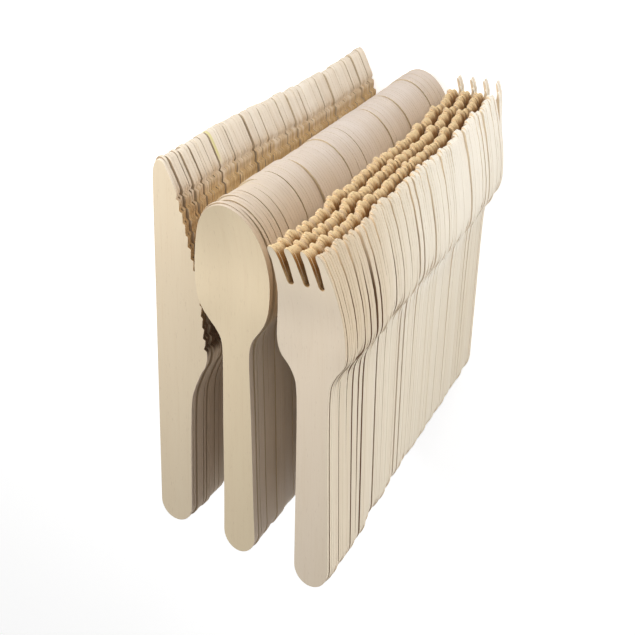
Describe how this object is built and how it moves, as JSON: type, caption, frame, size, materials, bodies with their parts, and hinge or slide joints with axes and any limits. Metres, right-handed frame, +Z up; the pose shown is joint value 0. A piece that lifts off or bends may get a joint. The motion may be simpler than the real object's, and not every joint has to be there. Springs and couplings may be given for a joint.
{
  "type": "wooden cutlery set",
  "caption": "Disposable wooden knives, spoons and forks in three flat stacks side by side, with the heads at one end.",
  "frame": {"origin": "centre of the set's footprint box, on the surface that the three stacks stand on", "axes": "+Z up through the stacks, +Y from the handle ends to the heads, +X from the knives to the forks"},
  "size_m": [0.092, 0.1668, 0.2072],
  "materials": {
    "knife_wood": "bare sanded birch, matt, fine grain along the length, rougher tan wood on the serrated edge",
    "spoon_wood": "bare sanded birch, matt, fine grain along the length",
    "fork_wood": "bare sanded birch, matt, fine grain along the length, browner cut walls between the tines"
  },
  "bodies": {
    "root": {"knife_001": "knife_wood", "knife_002": "knife_wood", "knife_003": "knife_wood", "knife_004": "knife_wood", "knife_005": "knife_wood", "knife_006": "knife_wood", "knife_007": "knife_wood", "knife_008": "knife_wood", "knife_009": "knife_wood", "knife_010": "knife_wood", "knives_011_to_019": "knife_wood", "knives_020_to_028": "knife_wood", "knives_029_to_037": "knife_wood", "knives_038_to_046": "knife_wood", "knives_047_to_055": "knife_wood", "knives_056_to_064": "knife_wood", "knives_065_to_073": "knife_wood", "knives_074_to_082": "knife_wood", "knives_083_to_091": "knife_wood", "knives_092_to_100": "knife_wood", "spoon_001": "spoon_wood", "spoon_002": "spoon_wood", "spoon_003": "spoon_wood", "spoon_004": "spoon_wood", "spoon_005": "spoon_wood", "spoon_006": "spoon_wood", "spoon_007": "spoon_wood", "spoon_008": "spoon_wood", "spoon_009": "spoon_wood", "spoon_010": "spoon_wood", "spoons_011_to_019": "spoon_wood", "spoons_020_to_028": "spoon_wood", "spoons_029_to_037": "spoon_wood", "spoons_038_to_046": "spoon_wood", "spoons_047_to_055": "spoon_wood", "spoons_056_to_064": "spoon_wood", "spoons_065_to_073": "spoon_wood", "spoons_074_to_082": "spoon_wood", "spoons_083_to_091": "spoon_wood", "spoons_092_to_100": "spoon_wood", "fork_001": "fork_wood", "fork_002": "fork_wood", "fork_003": "fork_wood", "fork_004": "fork_wood", "fork_005": "fork_wood", "fork_006": "fork_wood", "fork_007": "fork_wood", "fork_008": "fork_wood", "fork_009": "fork_wood", "fork_010": "fork_wood", "forks_011_to_019": "fork_wood", "forks_020_to_028": "fork_wood", "forks_029_to_037": "fork_wood", "forks_038_to_046": "fork_wood", "forks_047_to_055": "fork_wood", "forks_056_to_064": "fork_wood", "forks_065_to_073": "fork_wood", "forks_074_to_082": "fork_wood", "forks_083_to_091": "fork_wood", "forks_092_to_100": "fork_wood"}
  },
  "joints": []
}
